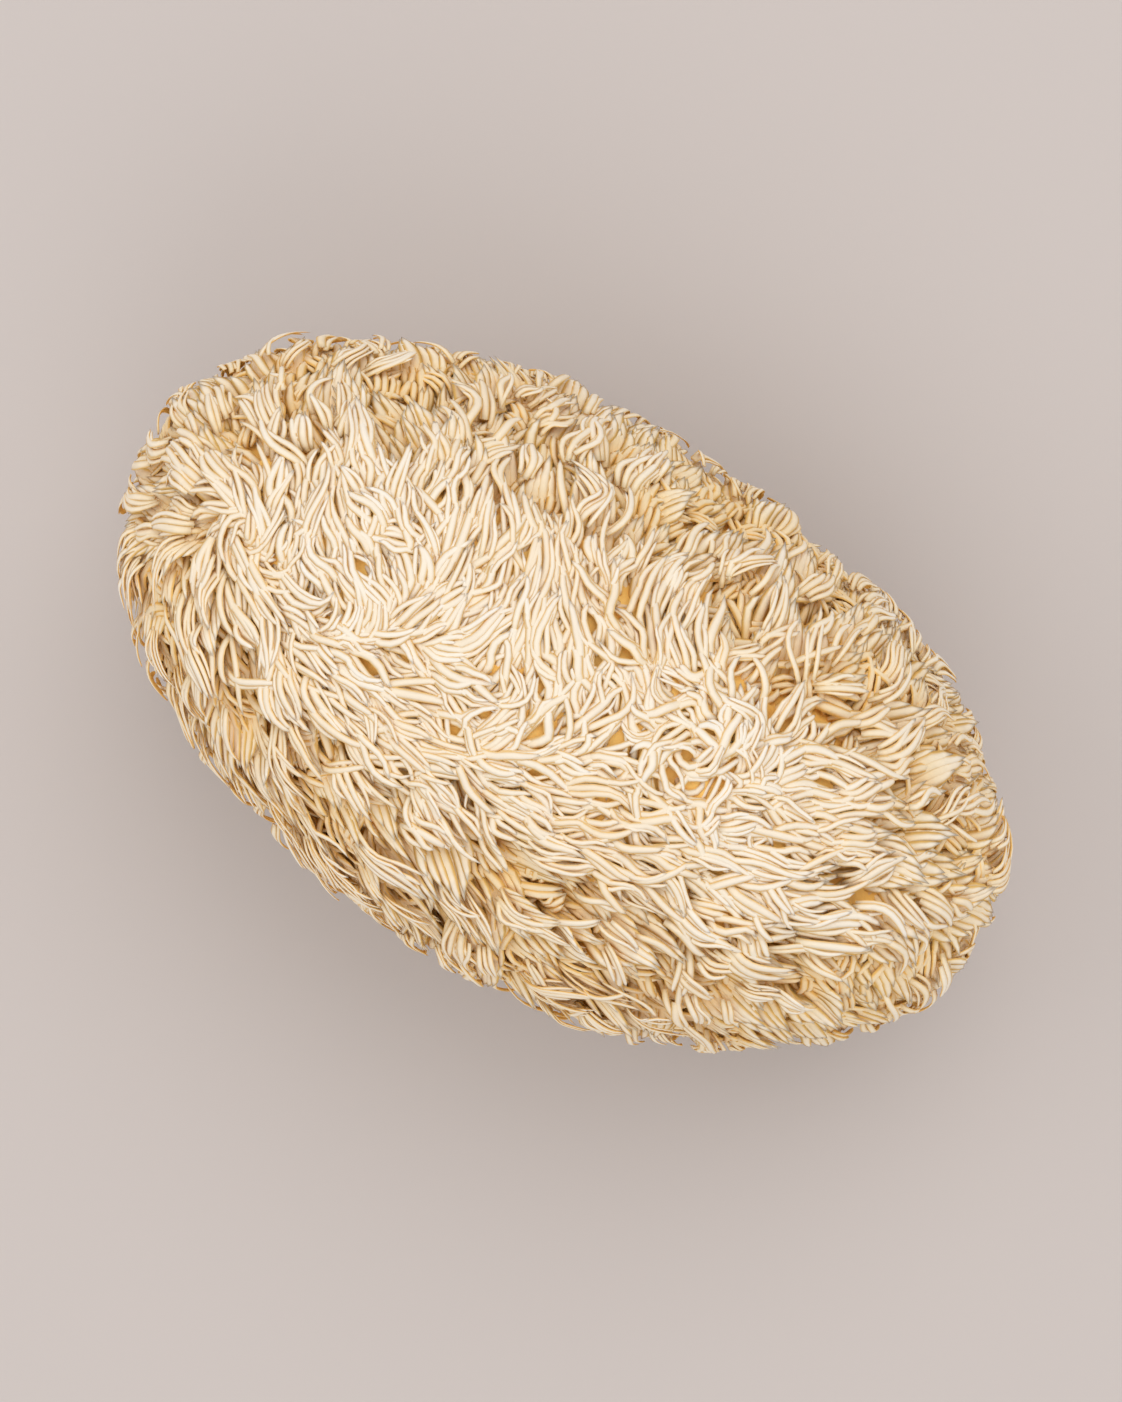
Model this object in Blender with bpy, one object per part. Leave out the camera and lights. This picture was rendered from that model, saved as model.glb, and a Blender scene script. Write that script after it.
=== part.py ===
"""Lion's mane mushroom: one whole dried head, cut flat where it grew on the wood.

The head is a single growth. Its flesh carries a thick coat of soft spines, and this solid is the
closed outer form that the spine tips reach, resting on the flat cut. Units are metres, +Z is up.
The origin is the middle of the footprint, on the plane of the cut. The long axis lies along X.
"""

import math

import bmesh
import bpy
from mathutils import Vector, noise

# Driving dimensions.
HEAD_LENGTH = 0.082  # X, over the spine tips
HEAD_WIDTH = 0.0485  # Y, over the spine tips
HEAD_HEIGHT = 0.046  # Z, from the cut to the top of the crown
CUT_DEPTH = 0.90  # where the cut passes, as a share of the half height below the middle
FULLNESS = 2.2  # 2 is a plain ellipsoid; more fills out the ends and flanks

# The head is a stretched ball with a few soft swellings. Each one is named for where it sits:
# its direction from the middle, its height as a share of the radius, and its spread in radians.
SWELLINGS = {
    "crown": ((0.30, 0.06, 0.95), 0.045, 0.62),
    "far_lobe": ((-0.74, 0.05, 0.60), 0.060, 0.50),
    "saddle_between_lobes": ((-0.26, -0.05, 0.96), -0.040, 0.34),
    "blunt_end": ((0.96, 0.12, 0.10), 0.030, 0.45),
    "front_shoulder": ((0.20, -0.95, 0.15), 0.025, 0.50),
    "back_shoulder": ((-0.25, 0.95, 0.20), 0.030, 0.45),
    "front_hollow": ((-0.45, -0.85, 0.05), -0.025, 0.35),
}
END_DRIFT = 0.002  # how far the far lobe's end drifts towards +Y

# Tufts: the spines stand in loose clumps, so the outer form is gently knobbly.
TUFT_SIZE = 0.0062
TUFT_HEIGHT = 0.0008

ICO_LEVEL = 5  # Blender counts from 1, so this ball starts with 5120 faces
FLESH_COLOUR = (0.80, 0.65, 0.43, 1.0)
FLESH_ROUGHNESS = 0.75


def clear_scene():
    """Removes every object, so that the head stands alone."""
    for leftover in list(bpy.data.objects):
        bpy.data.objects.remove(leftover, do_unlink=True)


def new_collection(name):
    """Adds a collection to the scene and returns it."""
    collection = bpy.data.collections.new(name)
    bpy.context.scene.collection.children.link(collection)
    return collection


def dried_flesh_material():
    """Cream, matt, dry flesh."""
    material = bpy.data.materials.new("dried_cream_spines")
    material.use_nodes = True
    principled = material.node_tree.nodes["Principled BSDF"]
    principled.inputs["Base Color"].default_value = FLESH_COLOUR
    principled.inputs["Roughness"].default_value = FLESH_ROUGHNESS
    principled.inputs["Metallic"].default_value = 0.0
    return material


def swelling_at(direction):
    """How far the skin stands out in this direction, as a share of the radius."""
    total = 0.0
    for centre, height, spread in SWELLINGS.values():
        angle = direction.angle(Vector(centre))
        total += height * math.exp(-((angle / spread) ** 2))
    return total


def tuft_at(place):
    """Height of the clumps of spines at a place on the skin."""
    return TUFT_HEIGHT * noise.noise(place / TUFT_SIZE)


def head_point(direction):
    """The place of the outer form in a direction from the middle, before it is brought to size."""
    half = Vector((HEAD_LENGTH / 2, HEAD_WIDTH / 2, HEAD_HEIGHT / (1 + CUT_DEPTH)))
    fullness = sum(abs(d) ** FULLNESS for d in direction) ** (-1 / FULLNESS)
    radius = fullness * (1 + swelling_at(direction))
    place = Vector(radius * d * h for d, h in zip(direction, half))
    outward = Vector(d / h for d, h in zip(direction, half)).normalized()
    place += outward * tuft_at(place)
    towards_far_end = max(0.0, -direction.x)
    place.y += END_DRIFT * towards_far_end**2
    return place


def cut_off_flat(head):
    """Cuts the ball flat where the head left the wood, and closes it with one flat face."""
    level = -CUT_DEPTH * HEAD_HEIGHT / (1 + CUT_DEPTH)
    geometry = head.verts[:] + head.edges[:] + head.faces[:]
    cut = bmesh.ops.bisect_plane(
        head,
        geom=geometry,
        dist=1e-6,
        plane_co=(0, 0, level),
        plane_no=(0, 0, -1),
        clear_outer=True,
    )
    rim = [piece for piece in cut["geom_cut"] if isinstance(piece, bmesh.types.BMEdge)]
    bmesh.ops.holes_fill(head, edges=rim)


def bring_to_size(head):
    """Stretches the head to its length, width and height, and stands it on the plane of its cut."""
    spans = []
    for axis in range(3):
        places = [vert.co[axis] for vert in head.verts]
        spans.append((min(places), max(places)))
    sizes = (HEAD_LENGTH, HEAD_WIDTH, HEAD_HEIGHT)
    stretch = [size / (high - low) for size, (low, high) in zip(sizes, spans)]
    foot = Vector(((spans[0][0] + spans[0][1]) / 2, (spans[1][0] + spans[1][1]) / 2, spans[2][0]))
    bmesh.ops.translate(head, verts=head.verts[:], vec=-foot)
    bmesh.ops.scale(head, verts=head.verts[:], vec=stretch)


def make_fruiting_body(collection):
    """The whole head as one closed solid."""
    head = bmesh.new()
    bmesh.ops.create_icosphere(head, subdivisions=ICO_LEVEL, radius=1.0)
    for vert in head.verts:
        vert.co = head_point(vert.co.normalized())
    cut_off_flat(head)
    bring_to_size(head)
    bmesh.ops.triangulate(head, faces=[face for face in head.faces if len(face.verts) > 4])
    bmesh.ops.recalc_face_normals(head, faces=head.faces[:])
    mesh = bpy.data.meshes.new("fruiting_body")
    head.to_mesh(mesh)
    head.free()
    mesh.shade_smooth()
    mesh.set_sharp_from_angle(angle=math.radians(50))
    mesh.materials.append(dried_flesh_material())
    body = bpy.data.objects.new("fruiting_body", mesh)
    collection.objects.link(body)
    return body


def main():
    clear_scene()
    make_fruiting_body(new_collection("lions_mane_mushroom"))


main()
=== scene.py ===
"""Looks of one dried lion's mane head: the coat of soft spines, the flesh under it and the cut it rests on.

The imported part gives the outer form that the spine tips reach. Every spine here is a real, closed,
tapering piece of mesh. On the crown the spines lie in a tangled mat that turns round a whorl, with
golden pits between them. Towards the flanks they gather side by side into ribbed, pointed tufts that
overlap like shingles. Under both, a short undercoat fills the gaps. Lengths are metres unless a name
says otherwise.
"""

from __future__ import annotations

import logging
import math
from collections.abc import Iterator
from dataclasses import dataclass, fields
from enum import Enum

import bmesh
import bpy
import numpy as np
from mathutils import Matrix, Vector
from mathutils.bvhtree import BVHTree


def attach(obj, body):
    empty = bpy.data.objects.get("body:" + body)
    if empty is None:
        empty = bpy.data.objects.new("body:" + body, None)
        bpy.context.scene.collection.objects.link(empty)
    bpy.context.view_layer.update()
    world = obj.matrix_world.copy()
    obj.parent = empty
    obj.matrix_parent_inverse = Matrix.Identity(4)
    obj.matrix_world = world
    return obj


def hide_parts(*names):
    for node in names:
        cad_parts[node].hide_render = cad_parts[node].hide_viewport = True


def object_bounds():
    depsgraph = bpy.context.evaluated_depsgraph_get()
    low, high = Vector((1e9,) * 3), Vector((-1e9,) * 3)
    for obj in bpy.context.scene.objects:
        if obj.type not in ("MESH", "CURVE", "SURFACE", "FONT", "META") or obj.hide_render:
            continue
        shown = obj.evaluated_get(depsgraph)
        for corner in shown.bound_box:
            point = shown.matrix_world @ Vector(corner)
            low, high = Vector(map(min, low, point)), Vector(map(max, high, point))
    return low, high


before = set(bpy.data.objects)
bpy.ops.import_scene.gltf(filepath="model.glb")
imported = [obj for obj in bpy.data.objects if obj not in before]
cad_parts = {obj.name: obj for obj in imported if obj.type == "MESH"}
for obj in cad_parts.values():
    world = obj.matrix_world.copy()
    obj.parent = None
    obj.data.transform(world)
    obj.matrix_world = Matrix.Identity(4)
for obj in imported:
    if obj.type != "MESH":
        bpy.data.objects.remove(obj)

LOG = logging.getLogger("lions_mane")
MM = 0.001
NODE = "fruiting_body"
BODY = "root"
CAD_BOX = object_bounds()
SPINE_MAP = "OFBake"  # the map along and round each spine
TONE_COLUMNS = 32  # spines share this many strips of the map, from pale to warm
STRIP_USED = 0.8  # the share of a strip's width that a spine takes
TURN_START = 0.1  # where a turn round a spine starts in that share, and how much of it it takes
TURN_SPAN = 0.8
FULL_SHADE_DEPTH = 3.6 * MM  # painted shade: spines this far under the skin are golden all over

Colour = tuple[float, float, float]


class Slot(Enum):
    """The record's material slots."""

    SPINES = "dried_spines"
    CUT = "cut_flesh"


# ----------------------------------------------------------
# Small helpers


def unit(vectors: np.ndarray) -> np.ndarray:
    """Each row scaled to length one."""
    return vectors / np.maximum(np.linalg.norm(vectors, axis=-1, keepdims=True), 1e-12)


def ease(low: float, high: float, values: np.ndarray) -> np.ndarray:
    """A soft step from 0 at low to 1 at high."""
    share = np.clip((values - low) / (high - low), 0.0, 1.0)
    return share * share * (3 - 2 * share)


def turned(vectors: np.ndarray, axes: np.ndarray, angles: np.ndarray) -> np.ndarray:
    """Vectors turned about unit axes.

    Args:
        vectors: Rows to turn.
        axes: One unit axis a row.
        angles: One angle a row, in radians, by the right-hand rule.

    Returns:
        The turned rows.
    """
    cosine, sine = np.cos(angles)[:, None], np.sin(angles)[:, None]
    along = (vectors * axes).sum(1, keepdims=True)
    return vectors * cosine + np.cross(axes, vectors) * sine + axes * along * (1 - cosine)


def ripple(points: np.ndarray, wavelength: float, seed: int) -> np.ndarray:
    """A smooth, wandering value over space, mostly between -1 and 1.

    Args:
        points: Places to read.
        wavelength: The typical distance between two crests.
        seed: Which pattern to use.

    Returns:
        One value a place.
    """
    rng = np.random.default_rng(seed)
    waves = 9
    directions = unit(rng.normal(size=(waves, 3)))
    rates = rng.uniform(0.7, 1.5, waves) * 2 * math.pi / wavelength
    phases = rng.uniform(0, 2 * math.pi, waves)
    return np.sin(points @ directions.T * rates + phases).sum(1) / math.sqrt(waves)


def deselect_all() -> None:
    """Leaves object mode with nothing selected."""
    if bpy.context.object and bpy.context.object.mode != "OBJECT":
        bpy.ops.object.mode_set(mode="OBJECT")
    bpy.ops.object.select_all(action="DESELECT")


# ----------------------------------------------------------
# The outer form


class Skin:
    """The outer form that the spine tips reach, without its cut face."""

    def __init__(self, node: str) -> None:
        """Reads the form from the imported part.

        Args:
            node: The CAD node's name.
        """
        form = bmesh.new()
        form.from_mesh(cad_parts[node].data)
        bmesh.ops.remove_doubles(form, verts=form.verts[:], dist=1e-6)
        cut = [f for f in form.faces if all(v.co.z < 1e-5 for v in f.verts)]
        bmesh.ops.delete(form, geom=cut, context="FACES")
        bmesh.ops.triangulate(form, faces=form.faces[:])
        form.normal_update()
        form.verts.ensure_lookup_table()
        self.places = np.array([v.co for v in form.verts])
        self.normals = np.array([v.normal for v in form.verts])
        self.corners = np.array([[v.index for v in f.verts] for f in form.faces])
        self.tree = BVHTree.FromBMesh(form)
        form.free()

    def nearest(self, points: np.ndarray) -> tuple[np.ndarray, np.ndarray]:
        """The nearest places on the form.

        Args:
            points: Places near it.

        Returns:
            The nearest places, and the smooth outward normals there.
        """
        found = [self.tree.find_nearest(Vector(p)) for p in points]
        places = np.array([f[0] for f in found])
        faces = np.array([f[2] for f in found])
        return places, self.smooth_normals(places, faces)

    def smooth_normals(self, places: np.ndarray, faces: np.ndarray) -> np.ndarray:
        """Outward normals blended across each triangle.

        Args:
            places: Places on the form.
            faces: The triangle that each lies on.

        Returns:
            One unit normal a place.
        """
        corners = self.corners[faces]
        a, b, c = (self.places[corners[:, k]] for k in range(3))
        whole = np.linalg.norm(np.cross(b - a, c - a), axis=1) + 1e-15
        share_a = np.linalg.norm(np.cross(b - places, c - places), axis=1) / whole
        share_b = np.linalg.norm(np.cross(c - places, a - places), axis=1) / whole
        share_c = np.clip(1 - share_a - share_b, 0, 1)
        shares = np.stack([share_a, share_b, share_c], 1)[:, :, None]
        return unit((self.normals[corners] * shares).sum(1))

    def scatter(self, spacing: float, rng: np.random.Generator) -> tuple[np.ndarray, np.ndarray]:
        """Places all over the form, none closer together than a spacing.

        Args:
            spacing: The least distance between two places.
            rng: The source of chance.

        Returns:
            The places, and the outward normals there.
        """
        a, b, c = (self.places[self.corners[:, k]] for k in range(3))
        areas = np.linalg.norm(np.cross(b - a, c - a), axis=1) / 2
        tries = int(areas.sum() / spacing**2 * 7)
        faces = rng.choice(len(areas), tries, p=areas / areas.sum())
        first, second = rng.uniform(size=(2, tries, 1))
        over = first + second > 1
        first, second = np.where(over, 1 - first, first), np.where(over, 1 - second, second)
        places = a[faces] + (b[faces] - a[faces]) * first + (c[faces] - a[faces]) * second
        kept = list(well_apart(places, spacing))
        return places[kept], self.smooth_normals(places[kept], faces[kept])


def well_apart(places: np.ndarray, spacing: float) -> Iterator[int]:
    """Walks through places and keeps those not too near to one already kept.

    Args:
        places: The places, in the order to try them.
        spacing: The least distance between two that are kept.

    Yields:
        The index of each place that is kept.
    """
    cells: dict[tuple[int, int, int], list[int]] = {}
    reach = [(i, j, k) for i in (-1, 0, 1) for j in (-1, 0, 1) for k in (-1, 0, 1)]
    keys = np.floor(places / spacing).astype(int)
    rows = places.tolist()
    limit = spacing * spacing
    for index, (x, y, z) in enumerate(keys.tolist()):
        px, py, pz = rows[index]
        near = (o for i, j, k in reach for o in cells.get((x + i, y + j, z + k), ()))
        if all(
            (px - rows[o][0]) ** 2 + (py - rows[o][1]) ** 2 + (pz - rows[o][2]) ** 2 > limit
            for o in near
        ):
            cells.setdefault((x, y, z), []).append(index)
            yield index


# ----------------------------------------------------------
# Which way the spines lie


@dataclass(frozen=True)
class Grain:
    """The lie of the spines.

    A few guides say which way the coat is combed, seen from above: a place in millimetres and a
    heading in degrees from +X. Between them the lie blends, and near the crown it turns in a whorl.
    """

    guides: tuple[tuple[float, float, float], ...] = (
        (-38, 7, 150),
        (-40, -3, 205),
        (-33, -11, 290),
        (-25, -9, 325),
        (-24, -18, 305),
        (-12, -8, 348),
        (-9, -19, 335),
        (-2, -12, 358),
        (4, -23, 320),
        (8, -17, 5),
        (14, -8, 12),
        (20, -20, 335),
        (24, -8, 355),
        (35, -6, 350),
        (36, 6, 25),
        (28, 12, 45),
        (22, 4, 38),
        (18, 18, 80),
        (8, 12, 96),
        (1, 5, 118),
        (-4, 20, 95),
        (-12, 8, 112),
        (-20, 3, 128),
        (-26, 16, 120),
    )
    whorl: tuple[float, float] = (11 * MM, 1.5 * MM)
    whorl_size: float = 6.5 * MM
    whorl_turn: float = math.radians(70)
    drift: float = math.radians(16)
    drift_size: float = 13 * MM
    flank_from: float = 0.968  # the upward part of the normal where the crown's mat starts to end
    flank_at: float = 0.84  # and where the tufts have taken over
    hang_from: float = 0.40  # below this the spines start to hang
    hang_at: float = -0.15

    def flank_share(self, normals: np.ndarray) -> np.ndarray:
        """How far each place is from crown, 0, to flank, 1."""
        return 1 - ease(self.flank_at, self.flank_from, normals[:, 2])

    def whorl_share(self, places: np.ndarray) -> np.ndarray:
        """How near each place is to the middle of the whorl, 1 at it."""
        reach = np.linalg.norm(places[:, :2] - np.array(self.whorl), axis=1)
        return np.exp(-((reach / self.whorl_size) ** 2))

    def combed(self, places: np.ndarray) -> np.ndarray:
        """The heading seen from above, as a unit vector a place."""
        guides = np.array(self.guides, float)
        angles = np.radians(guides[:, 2])
        ways = np.stack([np.cos(angles), np.sin(angles)], 1)
        gaps = places[:, None, :2] / MM - guides[None, :, :2]
        weights = 1 / ((gaps**2).sum(2) + 6.0) ** 1.6
        level = unit(weights @ ways)
        near = self.whorl_share(places)[:, None]
        cosine, sine = math.cos(self.whorl_turn), math.sin(self.whorl_turn)
        x, y = unit(places[:, :2] - np.array(self.whorl)).T
        swirl = np.stack([x * cosine - y * sine, x * sine + y * cosine], 1)
        level = unit(level * (1 - near) + swirl * near)
        turn = self.drift * ripple(places, self.drift_size, 11)
        x, y = level.T
        return np.stack([x * np.cos(turn) - y * np.sin(turn), x * np.sin(turn) + y * np.cos(turn)], 1)

    def headings(self, places: np.ndarray, normals: np.ndarray) -> np.ndarray:
        """The way a spine lies at each place.

        Args:
            places: Places on the skin.
            normals: The outward normals there.

        Returns:
            One unit vector a place, along the skin: the combed heading rolled over the form.
        """
        level = self.combed(places)
        out = unit(normals[:, :2])
        outward = (level * out).sum(1)
        sideways = level[:, 1] * out[:, 0] - level[:, 0] * out[:, 1]
        hang = 1 - ease(self.hang_at, self.hang_from, normals[:, 2])
        outward = outward * (1 - hang) + 1.5 * hang
        sideways = sideways * (1 - 0.75 * hang)
        flat = np.linalg.norm(normals[:, :2], axis=1)
        down = np.concatenate([out * normals[:, 2:], -flat[:, None]], 1)
        aside = np.stack([-out[:, 1], out[:, 0], np.zeros(len(out))], 1)
        return unit(down * outward[:, None] + aside * sideways[:, None])


@dataclass
class Paths:
    """The middle lines of many spines, each with the same number of points."""

    places: np.ndarray  # spine, point, xyz
    normals: np.ndarray  # outward normal of the skin over each point
    depth: np.ndarray  # how deep each point lies under the skin
    width: np.ndarray  # one a spine
    thickness: np.ndarray
    tone: np.ndarray  # 0 pale to 1 warm, one a spine

    def __len__(self) -> int:
        """How many spines there are."""
        return len(self.places)

    def cut(self, chosen: np.ndarray) -> Paths:
        """Only the chosen spines."""
        return Paths(*(getattr(self, field.name)[chosen] for field in fields(self)))


class Comb:
    """Leads many locks over the skin at once."""

    def __init__(self, skin: Skin, grain: Grain) -> None:
        """Keeps what every walk needs."""
        self.skin = skin
        self.grain = grain

    def walk(
        self,
        middles: np.ndarray,
        normals: np.ndarray,
        lengths: np.ndarray,
        offsets: np.ndarray,
    ) -> tuple[np.ndarray, np.ndarray]:
        """Walks both ways from each middle along the grain.

        Args:
            middles: The middle of each walk, on the skin.
            normals: The outward normals there.
            lengths: How long each walk is from root to tip.
            offsets: Walk by step, how far its heading is turned off the grain, in radians.

        Returns:
            The points of each walk on the skin from root to tip, and the normals there.
        """
        steps = offsets.shape[1]
        half = steps // 2
        stride = (lengths / steps)[:, None]
        halves = []
        for way, order in ((-1, range(half - 1, -1, -1)), (1, range(half, steps))):
            points, ups = [middles], [normals]
            for step in order:
                heading = self.grain.headings(points[-1], ups[-1])
                heading = turned(heading, ups[-1], offsets[:, step])
                place, up = self.skin.nearest(points[-1] + heading * stride * way)
                points.append(place)
                ups.append(up)
            halves.append((points, ups))
        (back, back_ups), (ahead, ahead_ups) = halves
        points = back[:0:-1] + ahead
        ups = back_ups[:0:-1] + ahead_ups
        return np.stack(points, 1), np.stack(ups, 1)


def read_along(points: np.ndarray, ups: np.ndarray, at: np.ndarray) -> tuple[np.ndarray, np.ndarray]:
    """Reads walks between their steps.

    Args:
        points: Walk by step, places on the skin.
        ups: The normals there.
        at: Walk by reading, how many steps along to read.

    Returns:
        The places and the unit normals there.
    """
    left = np.minimum(np.floor(at).astype(int), points.shape[1] - 2)
    share = (at - left)[:, :, None]
    rows = np.arange(len(points))[:, None]
    places = points[rows, left] * (1 - share) + points[rows, left + 1] * share
    return places, unit(ups[rows, left] * (1 - share) + ups[rows, left + 1] * share)


def shortened(points: np.ndarray, ups: np.ndarray, lowest: float) -> tuple[np.ndarray, np.ndarray]:
    """Ends each walk where it comes down to a level, and spreads its points over what is left.

    Args:
        points: Walk by step, places on the skin.
        ups: The normals there.
        lowest: The level to stop at.

    Returns:
        The new points and normals.
    """
    steps = points.shape[1]
    low = points[:, :, 2] < lowest
    last = np.where(low.any(1), np.maximum(low.argmax(1), 2), steps - 1)
    return read_along(points, ups, np.linspace(0, 1, steps)[None, :] * last[:, None])


# ----------------------------------------------------------
# One spine, and thousands of copies of it laid along their paths


@dataclass(frozen=True)
class SpineForm:
    """One straight spine, one unit long and one unit wide, to be bent along each path."""

    sides: int = 6
    rings: int = 8
    root_width: float = 0.7
    belly: float = 1.0
    tip_width: float = 0.34

    def girth(self, share: float) -> float:
        """The spine's width at a share of its length."""
        rise = math.sin(min(share / 0.35, 1.0) * math.pi / 2)
        fall = max(0.0, (share - 0.55) / 0.45)
        return (self.root_width + (self.belly - self.root_width) * rise) * (
            1 - (1 - self.tip_width) * fall**1.6
        )

    def model(self) -> bpy.types.Object:
        """Models the spine: a disc extruded ring by ring and drawn to a point.

        Returns:
            The spine, standing along Z.
        """
        deselect_all()
        bpy.ops.mesh.primitive_circle_add(
            vertices=self.sides, radius=self.girth(0) / 2, fill_type="NGON", enter_editmode=True
        )
        bpy.ops.mesh.select_all(action="SELECT")
        step = 1 / self.rings
        for ring in range(1, self.rings + 1):
            bpy.ops.mesh.extrude_region_move(TRANSFORM_OT_translate={"value": (0, 0, step)})
            if ring < self.rings:
                pinch = self.girth(ring * step) / self.girth((ring - 1) * step)
                bpy.ops.transform.resize(value=(pinch, pinch, 1))
        bpy.ops.mesh.merge(type="CENTER")
        bpy.ops.mesh.select_all(action="SELECT")
        bpy.ops.mesh.normals_make_consistent(inside=False)
        bpy.ops.object.mode_set(mode="OBJECT")
        return bpy.context.object


class SpineCopies:
    """Lays copies of one spine along paths and joins them in one mesh."""

    def __init__(self, form: SpineForm) -> None:
        """Models the spine once and keeps its shape.

        Args:
            form: The spine to copy.
        """
        spine = form.model()
        mesh = spine.data
        self.rings = form.rings
        self.shape = np.array([v.co for v in mesh.vertices])
        self.ring = np.rint(self.shape[:, 2] * form.rings).astype(int)
        self.faces = [list(p.vertices) for p in mesh.polygons]
        self.corner_vertex = np.concatenate([np.array(f) for f in self.faces])
        self.face_sizes = np.array([len(f) for f in self.faces])
        self.corner_turn = self.turns_round()
        bpy.data.objects.remove(spine)
        bpy.data.meshes.remove(mesh)

    def turns_round(self) -> np.ndarray:
        """Each corner's share of a turn round the spine, unbroken within its face.

        Returns:
            One share for each face corner.
        """
        turn = np.arctan2(self.shape[:, 1], self.shape[:, 0]) / (2 * math.pi) % 1.0
        found = []
        for face in self.faces:
            shares = turn[face].copy()
            tip = [k for k, v in enumerate(face) if self.ring[v] == self.rings]
            rest = [k for k in range(len(face)) if k not in tip]
            if len(face) <= 4 and np.ptp(shares[rest]) > 0.5:
                shares[rest] = np.where(shares[rest] < 0.5, shares[rest] + 1, shares[rest])
            shares[tip] = shares[rest].mean() if rest else 0.5
            found.append(shares)
        return np.concatenate(found)

    def triangles_each(self) -> int:
        """How many triangles one spine has."""
        return int((self.face_sizes - 2).sum())

    def lay(self, name: str, paths: Paths) -> bpy.types.Object:
        """Bends one copy along each path, joined in one mesh.

        Args:
            name: The piece's name.
            paths: One path a copy, with one point for each ring.

        Returns:
            The piece, with its map along and round each spine.
        """
        along = unit(np.gradient(paths.places, axis=1))
        side = unit(np.cross(along, paths.normals))
        up = np.cross(side, along)
        ring = self.ring
        across = self.shape[:, 0][None, :, None] * paths.width[:, None, None]
        rise = self.shape[:, 1][None, :, None] * paths.thickness[:, None, None]
        places = paths.places[:, ring] + side[:, ring] * across + up[:, ring] * rise
        low, high = (np.array(corner) for corner in CAD_BOX)
        places = np.clip(places, low, high).reshape(-1, 3)
        count, each = len(paths), len(self.shape)
        corners = (np.arange(count)[:, None] * each + self.corner_vertex[None, :]).ravel()
        starts = np.concatenate([[0], np.cumsum(self.face_sizes)[:-1]])
        starts = (np.arange(count)[:, None] * len(self.corner_vertex) + starts[None, :]).ravel()
        mesh = bpy.data.meshes.new(name)
        mesh.vertices.add(len(places))
        mesh.vertices.foreach_set("co", places.astype(np.float32).ravel())
        mesh.loops.add(len(corners))
        mesh.loops.foreach_set("vertex_index", corners.astype(np.int32))
        mesh.polygons.add(len(starts))
        mesh.polygons.foreach_set("loop_start", starts.astype(np.int32))
        mesh.update(calc_edges=True)
        layer = mesh.uv_layers.new(name=SPINE_MAP, do_init=False)
        layer.uv.foreach_set("vector", self.map_of(paths).astype(np.float32).ravel())
        mesh.shade_smooth()
        piece = bpy.data.objects.new(name, mesh)
        bpy.context.scene.collection.objects.link(piece)
        return piece

    def map_of(self, paths: Paths) -> np.ndarray:
        """Where each corner lies on the map: a strip by tone, and up the map the golden painted shade with
        depth under the skin and a paler painted highlight towards the tip.

        Args:
            paths: The spines.

        Returns:
            Two numbers a face corner.
        """
        strip = np.clip(np.floor(paths.tone * TONE_COLUMNS), 0, TONE_COLUMNS - 1)
        round_it = TURN_START + TURN_SPAN * self.corner_turn
        across = (strip[:, None] + round_it[None, :] * STRIP_USED) / TONE_COLUMNS
        ring = self.ring[self.corner_vertex]
        # Up the map: golden painted shade for spines deep under the skin, and a painted highlight that
        # pales each spine towards its tip.
        shallow = 1 - np.clip(paths.depth[:, ring] / FULL_SHADE_DEPTH, 0, 1)
        up = 0.02 + 0.76 * shallow + 0.20 * (ring / self.rings)[None, :]
        flat = np.repeat(self.face_sizes > 4, self.face_sizes)
        up = up + 0.012 * np.sin(2 * math.pi * self.corner_turn)[None, :] * flat[None, :]
        return np.stack([across, up], -1).reshape(-1, 2)


# ----------------------------------------------------------
# The three ways the spines grow


@dataclass(frozen=True)
class Habit:
    """One way the spines grow: in locks of ribs that lie side by side and share one path."""

    name: str
    seed: int
    grown: tuple[float, float]  # the share of locks kept, on the crown and on the flank
    spacing: float
    ribs: tuple[int, int]
    pitch: tuple[float, float]
    overlap: tuple[float, float]  # a rib's width against the pitch
    flatness: tuple[float, float]
    length: tuple[float, float]
    stray: float  # how far headings scatter, in radians
    wave: tuple[float, float]
    curl: float
    loose: float  # how far a rib wanders from its neighbours
    bowl: tuple[float, float]  # how much deeper a lock's edges lie than its middle
    splay: float  # how wide the ribs stand at the root, against the middle
    pinch: float  # how far they draw together at the tip
    point: float  # how much shorter the outermost ribs are than the middle one
    ragged: float  # how much shorter any rib may be by chance
    top: tuple[float, float]  # the least depth under the skin, on the crown and on the flank
    sink: float  # how much deeper a whole lock may lie
    sunk_power: float  # under 1, most locks lie deep and a few stand out
    root_depth: float
    rise_by: float  # the share of the length by which a rib has risen to its own level
    rise_power: float
    dive: tuple[float, float]  # how far the tips go down again
    tan: float  # the middle tone, 0 pale to 1 warm
    rim: float  # how much paler the outermost ribs are: a painted highlight on each lock's edges
    form: SpineForm


CROWN_MAT = Habit(
    name="crown_mat",
    seed=5,
    grown=(1.0, 0.10),
    spacing=0.93 * MM,
    ribs=(1, 5),
    pitch=(0.36 * MM, 0.52 * MM),
    overlap=(1.15, 1.75),
    flatness=(0.24, 0.38),
    length=(4.8 * MM, 9.4 * MM),
    stray=math.radians(18),
    wave=(0.10, 0.45),
    curl=0.50,
    loose=0.22 * MM,
    bowl=(-0.12 * MM, 0.20 * MM),
    splay=0.75,
    pinch=0.55,
    point=0.20,
    ragged=0.26,
    top=(0.25 * MM, 0.30 * MM),
    sink=0.50 * MM,
    sunk_power=1.0,
    root_depth=1.2 * MM,
    rise_by=0.34,
    rise_power=1.6,
    dive=(0.0 * MM, 0.75 * MM),
    tan=0.42,
    rim=0.15,
    form=SpineForm(sides=5, rings=8, root_width=0.85, tip_width=0.5),
)

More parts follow.
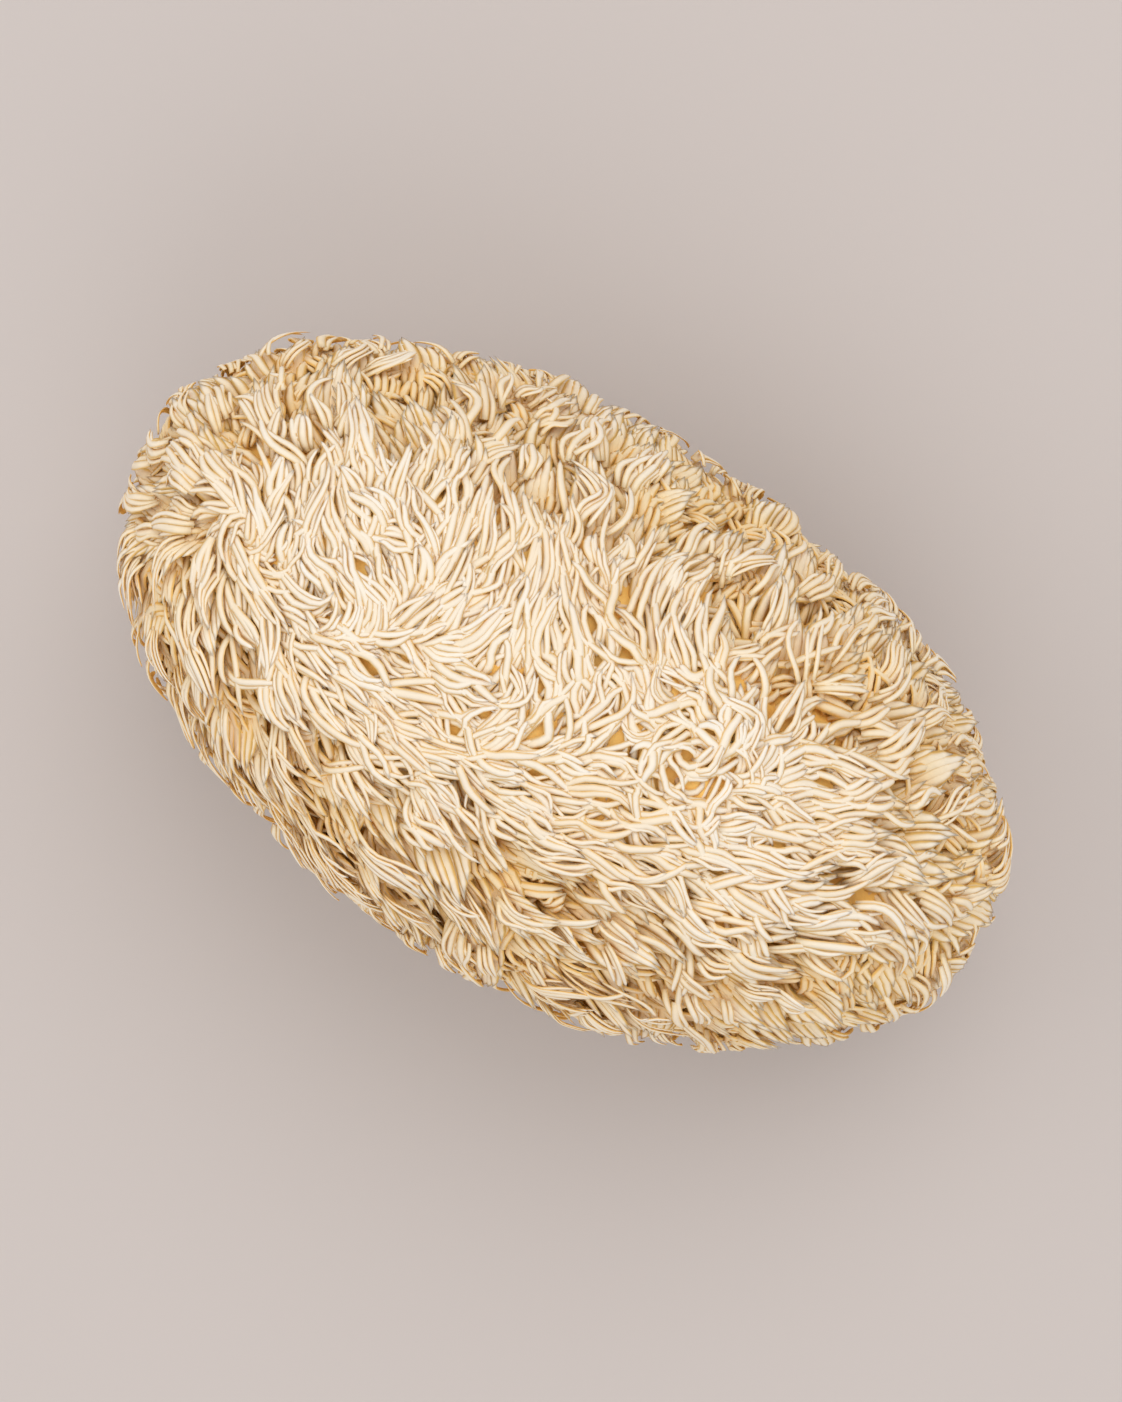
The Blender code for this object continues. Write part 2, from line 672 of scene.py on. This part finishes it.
FLANK_TUFTS = Habit(
    name="flank_tufts",
    seed=8,
    grown=(0.12, 1.0),
    spacing=2.05 * MM,
    ribs=(5, 9),
    pitch=(0.50 * MM, 0.66 * MM),
    overlap=(1.6, 2.2),
    flatness=(0.20, 0.31),
    length=(6.0 * MM, 9.6 * MM),
    stray=math.radians(11),
    wave=(0.05, 0.26),
    curl=0.30,
    loose=0.07 * MM,
    bowl=(-0.60 * MM, 0.20 * MM),
    splay=0.7,
    pinch=0.58,
    point=0.42,
    ragged=0.07,
    top=(0.20 * MM, 0.12 * MM),
    sink=1.8 * MM,
    sunk_power=0.9,
    root_depth=2.9 * MM,
    rise_by=1.0,
    rise_power=1.3,
    dive=(-0.1 * MM, 0.3 * MM),
    tan=0.50,
    rim=0.75,
    form=SpineForm(sides=4, rings=6, tip_width=0.3),
)

UNDERCOAT = Habit(
    name="undercoat",
    seed=12,
    grown=(0.35, 1.0),
    spacing=1.40 * MM,
    ribs=(1, 3),
    pitch=(0.55 * MM, 0.75 * MM),
    overlap=(1.0, 1.35),
    flatness=(0.5, 0.7),
    length=(3.6 * MM, 6.0 * MM),
    stray=math.radians(38),
    wave=(0.10, 0.40),
    curl=0.50,
    loose=0.15 * MM,
    bowl=(-0.1 * MM, 0.1 * MM),
    splay=0.8,
    pinch=0.5,
    point=0.15,
    ragged=0.2,
    top=(0.72 * MM, 1.5 * MM),
    sink=0.6 * MM,
    sunk_power=1.0,
    root_depth=0.9 * MM,
    rise_by=0.3,
    rise_power=1.4,
    dive=(0.0 * MM, 0.8 * MM),
    tan=0.5,
    rim=0.1,
    form=SpineForm(sides=4, rings=4, tip_width=0.45),
)


@dataclass(frozen=True)
class Pits:
    """Small pits on the crown, where the spines part and the golden flesh shows."""

    seed: int = 17
    spacing: float = 1.55 * MM
    radius: tuple[float, float] = (0.48 * MM, 0.86 * MM)
    middle: tuple[float, float] = (5 * MM, 3 * MM)
    spread: float = 18 * MM

    def dug(self, skin: Skin, grain: Grain) -> tuple[np.ndarray, np.ndarray]:
        """Where the pits are.

        Args:
            skin: The outer form.
            grain: The lie of the spines, which says where the crown is.

        Returns:
            Their middles on the skin, and their radii.
        """
        rng = np.random.default_rng(self.seed)
        places, normals = skin.scatter(self.spacing, rng)
        away = np.linalg.norm(places[:, :2] - np.array(self.middle), axis=1)
        often = np.exp(-((away / self.spread) ** 2)) * (1 - 0.9 * grain.flank_share(normals))
        places = places[rng.uniform(size=len(places)) < often]
        return places, rng.uniform(*self.radius, len(places))

    def part(self, skin: Skin, grain: Grain, points: np.ndarray, ups: np.ndarray) -> np.ndarray:
        """Moves spines aside from the pits.

        Args:
            skin: The outer form.
            grain: The lie of the spines.
            points: Spine by point, places just under the skin.
            ups: The normals there.

        Returns:
            The moved places.
        """
        moved = points.copy()
        for middle, radius in zip(*self.dug(skin, grain)):
            away = moved - middle
            away = away - ups * (away * ups).sum(2, keepdims=True)
            reach = np.linalg.norm(away, axis=2, keepdims=True)
            near = (reach < 2 * radius) & (np.linalg.norm(moved - middle, axis=2)[:, :, None] < 5 * MM)
            wanted = radius + reach / 2
            moved = np.where(near, moved + away / np.maximum(reach, 1e-6) * (wanted - reach), moved)
        moved[:, 1:-1] = moved[:, 1:-1] / 2 + (moved[:, :-2] + moved[:, 2:]) / 4
        return moved


@dataclass
class Locks:
    """All the locks of one habit."""

    skin: Skin
    grain: Grain
    habit: Habit
    lowest: float = 0.3 * MM  # spines end here, just over what the head stands on
    tone_drift: float = 0.20
    tone_drift_size: float = 16 * MM

    def paths(self) -> Paths:
        """Works out where every rib of every lock lies.

        Returns:
            Their paths.
        """
        habit = self.habit
        rng = np.random.default_rng(habit.seed)
        middles, normals = self.skin.scatter(habit.spacing, rng)
        flank = self.grain.flank_share(normals)
        on_crown, on_flank = habit.grown
        kept = rng.uniform(size=len(middles)) < on_crown + (on_flank - on_crown) * flank
        middles, normals, flank = middles[kept], normals[kept], flank[kept]
        whorl = self.grain.whorl_share(middles)
        locks, rings = len(middles), habit.form.rings
        lengths = rng.uniform(*habit.length, locks) * (1 - 0.35 * whorl)
        share = (np.arange(rings)[None, :] + 0.5) / rings
        heading = rng.normal(0, habit.stray, (locks, 1)) * (1 + 1.4 * whorl[:, None])
        wave = rng.uniform(*habit.wave, (locks, 1))
        turns = rng.uniform(0.5, 1.2, (locks, 1))
        phase = rng.uniform(0, 2 * math.pi, (locks, 1))
        curl = rng.normal(0, habit.curl, (locks, 1))
        offsets = heading + wave * np.sin(2 * math.pi * turns * share + phase) + curl * (share - 0.5)
        points, ups = Comb(self.skin, self.grain).walk(middles, normals, lengths, offsets)
        points, ups = shortened(points, ups, self.lowest)
        ribs = rng.integers(habit.ribs[0], habit.ribs[1] + 1, locks)
        owner = np.repeat(np.arange(locks), ribs)
        first = np.concatenate([[0], np.cumsum(ribs)[:-1]])
        middle = np.arange(len(owner)) - first[owner] - (ribs[owner] - 1) / 2
        return self.ribbed(rng, points[owner], ups[owner], owner, middle, ribs[owner])

    def ribbed(
        self,
        rng: np.random.Generator,
        points: np.ndarray,
        ups: np.ndarray,
        owner: np.ndarray,
        middle: np.ndarray,
        ribs: np.ndarray,
    ) -> Paths:
        """Sets the ribs of each lock side by side along its walk.

        Args:
            rng: The source of chance.
            points: Rib by step, the lock's walk on the skin.
            ups: The normals there.
            owner: The number of each rib's lock.
            middle: How many ribs each one is off the lock's middle.
            ribs: How many ribs its lock has.

        Returns:
            The ribs' paths.
        """
        habit = self.habit
        count, steps = points.shape[:2]
        locks = owner.max() + 1
        share = np.linspace(0, 1, steps)[None, :]
        edge = (np.abs(middle) / np.maximum((ribs - 1) / 2, 1))[:, None]
        reach = 1 - habit.point * edge**1.3 - habit.ragged * rng.uniform(0, 1, (count, 1))
        start = habit.ragged * 0.6 * rng.uniform(0, 1, (count, 1))
        run = start + (reach - start) * share
        base, up = read_along(points, ups, run * (steps - 1))
        side = unit(np.cross(unit(np.gradient(base, axis=1)), up))
        pitch = rng.uniform(*habit.pitch, locks)[owner][:, None]
        fan = habit.splay + (1 - habit.splay) * ease(0, 0.4, run)
        fan = fan * (1 - habit.pinch * ease(0.42, 1.0, run))
        wander = rng.normal(0, habit.loose, (count, 1)) * np.sin(
            2 * math.pi * rng.uniform(0.4, 1.2, (count, 1)) * share
            + rng.uniform(0, 2 * math.pi, (count, 1))
        )
        shift = middle[:, None] * pitch * fan + wander
        bowl = rng.uniform(*habit.bowl, locks)[owner][:, None] * edge**2
        roll = rng.normal(0, 0.16, locks)[owner][:, None] * middle[:, None] * pitch
        sunk = habit.sink * rng.uniform(0, 1, locks)[owner][:, None] ** habit.sunk_power
        rise = np.clip(1 - run / habit.rise_by, 0, 1) ** habit.rise_power
        dive = rng.uniform(*habit.dive, locks)[owner][:, None] * ease(0.62, 1.0, run)
        crown_top, flank_top = habit.top
        top = crown_top + (flank_top - crown_top) * self.grain.flank_share(up[:, steps // 2])
        depth = top[:, None] + sunk + bowl + roll + habit.root_depth * rise + dive
        depth = depth + rng.normal(0, 0.08 * MM, (count, 1))
        width = pitch[:, 0] * rng.uniform(*habit.overlap, count) * (1 - 0.25 * edge[:, 0] ** 4)
        thickness = width * rng.uniform(*habit.flatness, count)
        depth = np.maximum(depth, thickness[:, None] * 0.45)
        places = base + side * shift[:, :, None] - up * depth[:, :, None]
        places = Pits().part(self.skin, self.grain, places, up)
        root = points[:, 0]
        drift = self.tone_drift * ripple(root, self.tone_drift_size, 21)
        tone = habit.tan + drift + rng.normal(0, 0.12, locks)[owner]
        # Painted highlight: the outermost ribs of each lock are made paler.
        tone = tone + rng.normal(0, 0.07, count) - habit.rim * edge[:, 0] ** 4
        tone = np.clip(tone, 0, 0.999)
        return Paths(places, up, depth, width, thickness, tone)


# ----------------------------------------------------------
# Finishes


class Graph:
    """A material's nodes, added in a few words each."""

    def __init__(self, name: str) -> None:
        """Starts a material with its shader and output."""
        self.material = bpy.data.materials.new(name)
        self.material.use_nodes = True
        self.tree = self.material.node_tree
        self.shader = self.tree.nodes["Principled BSDF"]

    def add(self, kind: str, **settings: object) -> bpy.types.Node:
        """Adds a node with its settings."""
        node = self.tree.nodes.new(kind)
        for name, value in settings.items():
            setattr(node, name, value)
        return node

    def put(self, socket: bpy.types.NodeSocket, value: object) -> None:
        """Sets an input, or links it if the value is another node's output."""
        if isinstance(value, bpy.types.NodeSocket):
            self.tree.links.new(value, socket)
        else:
            socket.default_value = value

    def maths(self, operation: str, *values: object) -> bpy.types.NodeSocket:
        """The result of a sum on numbers or sockets."""
        node = self.add("ShaderNodeMath", operation=operation)
        for socket, value in zip(node.inputs, values):
            self.put(socket, value)
        return node.outputs[0]

    def mixed(self, share: object, first: object, second: object) -> bpy.types.NodeSocket:
        """A colour between two others."""
        node = self.add("ShaderNodeMix", data_type="RGBA")
        self.put(node.inputs[0], share)
        for socket, value in ((node.inputs[6], first), (node.inputs[7], second)):
            self.put(socket, value if isinstance(value, bpy.types.NodeSocket) else (*value, 1.0))
        return node.outputs[2]

    def ramp(self, share: object, stops: list[tuple[float, Colour]]) -> bpy.types.NodeSocket:
        """A colour read off a run of stops."""
        node = self.add("ShaderNodeValToRGB")
        elements = node.color_ramp.elements
        while len(elements) < len(stops):
            elements.new(0.5)
        for element, (place, colour) in zip(elements, stops):
            element.position = place
            element.color = (*colour, 1.0)
        self.put(node.inputs[0], share)
        return node.outputs[0]

    def step(self, value: object, low: float, high: float) -> bpy.types.NodeSocket:
        """A soft step from 0 at low to 1 at high."""
        node = self.add("ShaderNodeMapRange", interpolation_type="SMOOTHSTEP")
        node.inputs["From Min"].default_value = low
        node.inputs["From Max"].default_value = high
        self.put(node.inputs["Value"], value)
        return node.outputs[0]

    def noise(self, place: object, scale: float, detail: float = 3.0) -> bpy.types.NodeSocket:
        """A cloudy value from 0 to 1."""
        node = self.add("ShaderNodeTexNoise")
        self.put(node.inputs["Vector"], place)
        node.inputs["Scale"].default_value = scale
        node.inputs["Detail"].default_value = detail
        return node.outputs[0]

    def bump(self, height: object, strength: float, distance: float) -> None:
        """Feeds a height into the shader's normal."""
        node = self.add("ShaderNodeBump")
        node.inputs["Strength"].default_value = strength
        node.inputs["Distance"].default_value = distance
        self.put(node.inputs["Height"], height)
        self.put(self.shader.inputs["Normal"], node.outputs[0])


@dataclass(frozen=True)
class SpineFinish:
    """Dried spines, with painted light: golden painted shade where they stand deep in the coat and on their
    sides and undersides, and paler painted highlights on the edges of each lock and at the tips.
    """

    name: str = "dried_spines"
    # The first two colours are golden painted shade for spines deep in the coat, and the tip colour is a
    # painted highlight.
    deep_shade: Colour = (0.95, 0.54, 0.13)
    root: Colour = (0.94, 0.64, 0.25)
    body: Colour = (0.89, 0.75, 0.52)
    pale: Colour = (0.88, 0.80, 0.67)
    tip: Colour = (0.88, 0.83, 0.76)
    warm: Colour = (0.84, 0.65, 0.40)
    # Painted shade: the sides and underside of each spine take this golden colour.
    groove_shade: Colour = (0.98, 0.59, 0.14)
    warm_share: float = 0.55
    groove_shade_share: float = 0.85
    groove_shade_top: float = 0.85  # the height on a spine, 1 at its top, where painted shade starts to turn its sides golden
    groove_shade_foot: float = 0.30
    roughness: float = 0.7

    def material(self) -> bpy.types.Material:
        """Makes the material.

        Returns:
            It reads the spines' own map: across for tone and turn, which sets the painted shade on a
            spine's sides, and up for the golden painted shade with depth and the painted highlight at the
            tip.
        """
        graph = Graph(self.name)
        spine_map = graph.add("ShaderNodeUVMap", uv_map=SPINE_MAP).outputs[0]
        parts = graph.add("ShaderNodeSeparateXYZ")
        graph.put(parts.inputs[0], spine_map)
        across, up = parts.outputs[0], parts.outputs[1]
        strips = graph.maths("MULTIPLY", across, float(TONE_COLUMNS))
        tone = graph.maths("DIVIDE", graph.maths("FLOOR", strips), float(TONE_COLUMNS))
        turn = graph.maths("SUBTRACT", graph.maths("FRACT", strips), TURN_START * STRIP_USED)
        whole_turn = TURN_SPAN * STRIP_USED
        height = graph.maths("SINE", graph.maths("MULTIPLY", turn, 2 * math.pi / whole_turn))
        # The ramp up the map: golden painted shade for spines deep in the coat, the spines' own colours
        # near the skin, and a painted highlight at the tips.
        stops = [
            (0.0, self.deep_shade),
            (0.30, self.root),
            (0.58, self.body),
            (0.80, self.pale),
            (1.0, self.tip),
        ]
        colour = graph.ramp(up, stops)
        colour = graph.mixed(graph.maths("MULTIPLY", tone, self.warm_share), colour, self.warm)
        # Painted shade: golden on each spine's sides and underside, down from its top.
        side_shade = graph.step(height, self.groove_shade_top, self.groove_shade_foot)
        sides = graph.maths("MULTIPLY", side_shade, self.groove_shade_share)
        colour = graph.mixed(sides, colour, self.groove_shade)
        stretch = graph.add("ShaderNodeMapping")
        stretch.inputs["Scale"].default_value = (float(TONE_COLUMNS) * 3.0, 9.0, 1.0)
        graph.put(stretch.inputs["Vector"], spine_map)
        grain = graph.noise(stretch.outputs[0], 1.6, 4.0)
        shade = graph.maths("MULTIPLY_ADD", grain, 0.16, 0.92)
        tint = graph.add("ShaderNodeMix", data_type="RGBA", blend_type="MULTIPLY")
        tint.inputs[0].default_value = 1.0
        graph.put(tint.inputs[6], colour)
        graph.put(tint.inputs[7], shade)
        graph.put(graph.shader.inputs["Base Color"], tint.outputs[2])
        graph.shader.inputs["Roughness"].default_value = self.roughness
        graph.shader.inputs["Specular IOR Level"].default_value = 0.0
        graph.bump(grain, 0.35, 0.05 * MM)
        return graph.material


@dataclass(frozen=True)
class FleshFinish:
    """The golden flesh that shows in the pits between the spines."""

    name: str = "golden_flesh"
    dark: Colour = (0.92, 0.50, 0.09)
    light: Colour = (0.94, 0.61, 0.17)

    def material(self) -> bpy.types.Material:
        """Makes the material, patterned in the object's own coordinates."""
        graph = Graph(self.name)
        place = graph.add("ShaderNodeTexCoord").outputs["Object"]
        cloud = graph.noise(place, 420.0, 4.0)
        graph.put(
            graph.shader.inputs["Base Color"],
            graph.ramp(cloud, [(0.30, self.dark), (0.70, self.light)]),
        )
        graph.shader.inputs["Roughness"].default_value = 0.7
        graph.bump(graph.noise(place, 1400.0), 0.5, 0.3 * MM)
        return graph.material


@dataclass(frozen=True)
class CutFinish:
    """The sliced flesh of the foot: pale and porous, browned towards its rim."""

    half_length: float
    half_width: float
    name: str = "cut_flesh"
    middle: Colour = (0.84, 0.71, 0.49)
    edge: Colour = (0.80, 0.61, 0.36)
    pore: Colour = (0.46, 0.27, 0.10)

    def material(self) -> bpy.types.Material:
        """Makes the material, patterned in the object's own coordinates."""
        graph = Graph(self.name)
        place = graph.add("ShaderNodeTexCoord").outputs["Object"]
        fit = graph.add("ShaderNodeMapping")
        fit.inputs["Scale"].default_value = (1 / self.half_length, 1 / self.half_width, 0.0)
        graph.put(fit.inputs["Vector"], place)
        length = graph.add("ShaderNodeVectorMath", operation="LENGTH")
        graph.put(length.inputs[0], fit.outputs[0])
        ragged = graph.maths("MULTIPLY_ADD", graph.noise(place, 260.0), 0.5, -0.25)
        out = graph.maths("ADD", length.outputs["Value"], ragged)
        colour = graph.ramp(out, [(0.45, self.middle), (1.0, self.edge)])
        cells = graph.add("ShaderNodeTexVoronoi")
        cells.inputs["Scale"].default_value = 900.0
        graph.put(cells.inputs["Vector"], place)
        pores = graph.maths("LESS_THAN", cells.outputs["Distance"], 0.22)
        colour = graph.mixed(graph.maths("MULTIPLY", pores, 0.6), colour, self.pore)
        graph.put(graph.shader.inputs["Base Color"], colour)
        graph.shader.inputs["Roughness"].default_value = 0.8
        dents = graph.maths("ADD", cells.outputs["Distance"], graph.noise(place, 700.0))
        graph.bump(dents, 0.4, 0.25 * MM)
        return graph.material


# ----------------------------------------------------------
# The pieces


@dataclass
class SpineCoat:
    """The whole coat: crown mat, flank tufts and undercoat, in pieces of a bearable size."""

    skin: Skin
    grain: Grain
    finish: SpineFinish
    most_triangles: int = 190_000

    def build(self) -> list[bpy.types.Object]:
        """Grows the coat.

        Returns:
            Its pieces.
        """
        material = self.finish.material()
        pieces: list[bpy.types.Object] = []
        for habit in (CROWN_MAT, FLANK_TUFTS, UNDERCOAT):
            copies = SpineCopies(habit.form)
            paths = Locks(self.skin, self.grain, habit).paths()
            total = len(paths) * copies.triangles_each()
            shares = math.ceil(total / self.most_triangles)
            around = np.arctan2(paths.places[:, 0, 1], paths.places[:, 0, 0])
            for number, chosen in enumerate(np.array_split(np.argsort(around), shares), 1):
                piece = copies.lay(f"{habit.name}_{number}", paths.cut(chosen))
                piece.data.materials.append(material)
                self.settle(piece)
                pieces.append(piece)
            LOG.info("%s: %d spines, %d triangles", habit.name, len(paths), total)
        return pieces

    def settle(self, piece: bpy.types.Object) -> None:
        """Hangs the piece on the head's body and hides the imported part it stands in for."""
        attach(piece, BODY)
        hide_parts(NODE)


@dataclass
class Flesh:
    """The solid flesh inside the coat."""

    grain: Grain
    finish: FleshFinish
    under_skin: float = 2.7 * MM
    crown_rise: float = 1.75 * MM
    voxel: float = 1.0 * MM
    lump_height: float = 0.9 * MM
    lump_size: float = 3.0 * MM

    def build(self) -> bpy.types.Object:
        """Models the flesh from a shrunken copy of the outer form.

        Returns:
            The piece.
        """
        deselect_all()
        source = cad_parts[NODE]
        flesh = bpy.data.objects.new("golden_flesh", source.data.copy())
        bpy.context.scene.collection.objects.link(flesh)
        bpy.context.view_layer.objects.active = flesh
        flesh.select_set(True)
        bpy.ops.object.mode_set(mode="EDIT")
        bpy.ops.mesh.select_all(action="SELECT")
        bpy.ops.mesh.remove_doubles(threshold=1e-6)
        bpy.ops.mesh.customdata_custom_splitnormals_clear()
        bpy.ops.object.mode_set(mode="OBJECT")
        self.apply(flesh, "REMESH", mode="VOXEL", voxel_size=self.voxel)
        self.apply(flesh, "SMOOTH", factor=0.5, iterations=10)
        self.apply(flesh, "DISPLACE", strength=-self.under_skin, mid_level=0.0)
        self.apply(flesh, "REMESH", mode="VOXEL", voxel_size=self.voxel)
        self.raise_crown(flesh)
        lumps = bpy.data.textures.new("flesh_lumps", "CLOUDS")
        lumps.noise_scale = self.lump_size
        self.apply(flesh, "DISPLACE", strength=self.lump_height, mid_level=0.5, texture=lumps)
        flesh.data.materials.clear()
        flesh.data.materials.append(self.finish.material())
        flesh.data.shade_smooth()
        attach(flesh, BODY)
        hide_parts(NODE)
        LOG.info("flesh: %d faces", len(flesh.data.polygons))
        return flesh

    def raise_crown(self, flesh: bpy.types.Object) -> None:
        """Brings the flesh nearer to the skin on the crown, where the spines lie flat."""
        count = len(flesh.data.vertices)
        places, normals = np.empty(count * 3), np.empty(count * 3)
        flesh.data.vertices.foreach_get("co", places)
        flesh.data.vertex_normals.foreach_get("vector", normals)
        places, normals = places.reshape(-1, 3), normals.reshape(-1, 3)
        crown = 1 - self.grain.flank_share(normals)
        places = places + normals * crown[:, None] * self.crown_rise
        flesh.data.vertices.foreach_set("co", places.ravel())
        flesh.data.update()

    def apply(self, piece: bpy.types.Object, kind: str, **settings: object) -> None:
        """Adds a modifier with its settings and applies it."""
        modifier = piece.modifiers.new(kind.lower(), kind)
        for name, value in settings.items():
            setattr(modifier, name, value)
        bpy.context.view_layer.objects.active = piece
        bpy.ops.object.modifier_apply(modifier=modifier.name)


@dataclass
class CutFace:
    """The foot: a flat oval slice of flesh that stands on the table."""

    half_length: float = 17.5 * MM
    half_width: float = 9.8 * MM
    height: float = 5.0 * MM
    rim_width: float = 0.6 * MM
    widened: tuple[float, float] = (1.25, 1.3)  # how much the top spreads, along and across
    ragged: float = 0.035
    ragged_size: float = 9 * MM

    def build(self) -> bpy.types.Object:
        """Models the foot as a ragged disc, widened upwards into the flesh.

        Returns:
            The piece.
        """
        deselect_all()
        bpy.ops.mesh.primitive_circle_add(
            vertices=72, radius=1.0, fill_type="NGON", enter_editmode=True
        )
        bpy.ops.transform.resize(value=(self.half_length, self.half_width, 1))
        bpy.ops.mesh.inset(thickness=self.rim_width)
        bpy.ops.mesh.select_all(action="SELECT")
        bpy.ops.mesh.extrude_region_move(TRANSFORM_OT_translate={"value": (0, 0, self.height)})
        bpy.ops.transform.resize(value=(*self.widened, 1))
        bpy.ops.mesh.select_all(action="SELECT")
        bpy.ops.mesh.normals_make_consistent(inside=False)
        bpy.ops.object.mode_set(mode="OBJECT")
        foot = bpy.context.object
        foot.name = foot.data.name = "cut_face"
        rim = np.array([v.co for v in foot.data.vertices])
        ragged = 1 + self.ragged * ripple(rim * np.array([1, 1, 0]), self.ragged_size, 33)
        rim[:, :2] *= ragged[:, None]
        foot.data.vertices.foreach_set("co", rim.astype(np.float32).ravel())
        foot.data.update()
        foot.data.materials.append(CutFinish(self.half_length, self.half_width).material())
        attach(foot, BODY)
        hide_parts(NODE)
        LOG.info("cut face: %d faces", len(foot.data.polygons))
        return foot


# ----------------------------------------------------------
# The studio


@dataclass(frozen=True)
class SoftBox:
    """One soft studio light."""

    name: str
    bearing: float  # degrees from +X, anticlockwise seen from above
    height: float  # degrees above the floor
    distance: float
    size: float
    watts: float
    colour: Colour

    def build(self, aim: Vector) -> bpy.types.Object:
        """Places the light and points it at the head."""
        data = bpy.data.lights.new(self.name, "AREA")
        data.shape = "DISK"
        data.size = self.size
        data.energy = self.watts
        data.color = self.colour
        light = bpy.data.objects.new(self.name, data)
        a, e = math.radians(self.bearing), math.radians(self.height)
        way = Vector((math.cos(a) * math.cos(e), math.sin(a) * math.cos(e), math.sin(e)))
        light.location = aim + way * self.distance
        light.rotation_euler = way.to_track_quat("Z", "Y").to_euler()
        light.visible_camera = False
        bpy.context.scene.collection.objects.link(light)
        return light


@dataclass
class Studio:
    """A pale floor, soft light and a camera over the crown."""

    roll: float = math.radians(30)  # the head's long axis falls away to the right by this much
    lens: float = 85.0
    view_height: float = 0.116
    floor_colour: Colour = (0.56, 0.505, 0.475)
    air_colour: Colour = (0.845, 0.835, 0.84)
    air_strength: float = 0.92

    def build(self) -> None:
        """Builds the floor, lights, surroundings and camera."""
        low, high = CAD_BOX
        middle = (low + high) / 2
        self.floor()
        for box in (
            SoftBox("key", 100, 58, 0.75, 0.60, 1.5, (1.0, 0.99, 0.99)),
            SoftBox("side", 200, 40, 0.80, 0.60, 0.9, (1.0, 0.985, 0.98)),
            SoftBox("front", 310, 45, 0.85, 0.60, 1.1, (0.98, 0.99, 1.0)),
        ):
            box.build(middle)
        self.surroundings()
        self.camera(middle)
        bpy.context.scene.view_settings.view_transform = "Standard"

    def floor(self) -> None:
        """Lays a plain pale floor."""
        deselect_all()
        bpy.ops.mesh.primitive_plane_add(size=6.0, location=(0, 0, -0.00005))
        floor = bpy.context.object
        floor.name = "floor"
        graph = Graph("pale_floor")
        graph.shader.inputs["Base Color"].default_value = (*self.floor_colour, 1.0)
        graph.shader.inputs["Roughness"].default_value = 0.85
        floor.data.materials.append(graph.material)

    def surroundings(self) -> None:
        """Soft grey light from all round."""
        world = bpy.data.worlds.new("soft_grey")
        world.use_nodes = True
        back = world.node_tree.nodes["Background"]
        back.inputs["Color"].default_value = (*self.air_colour, 1.0)
        back.inputs["Strength"].default_value = self.air_strength
        bpy.context.scene.world = world

    def camera(self, middle: Vector) -> None:
        """Hangs the camera straight over the head."""
        data = bpy.data.cameras.new("camera")
        data.lens = self.lens
        data.clip_start = 0.01
        data.clip_end = 20.0
        camera = bpy.data.objects.new("camera", data)
        distance = self.view_height / 2 / (data.sensor_width / 2 / self.lens)
        camera.matrix_world = Matrix.Translation(
            middle + Vector((0, 0, distance))
        ) @ Matrix.Rotation(self.roll, 4, "Z")
        bpy.context.scene.collection.objects.link(camera)
        bpy.context.scene.camera = camera


def main() -> None:
    """Builds the head and its studio."""
    logging.basicConfig(level=logging.INFO, format="%(message)s")
    skin = Skin(NODE)
    LOG.info("skin: %d places", len(skin.places))
    grain = Grain()
    Flesh(grain, FleshFinish()).build()
    CutFace().build()
    SpineCoat(skin, grain, SpineFinish()).build()
    Studio().build()


if __name__ == "__main__":
    main()
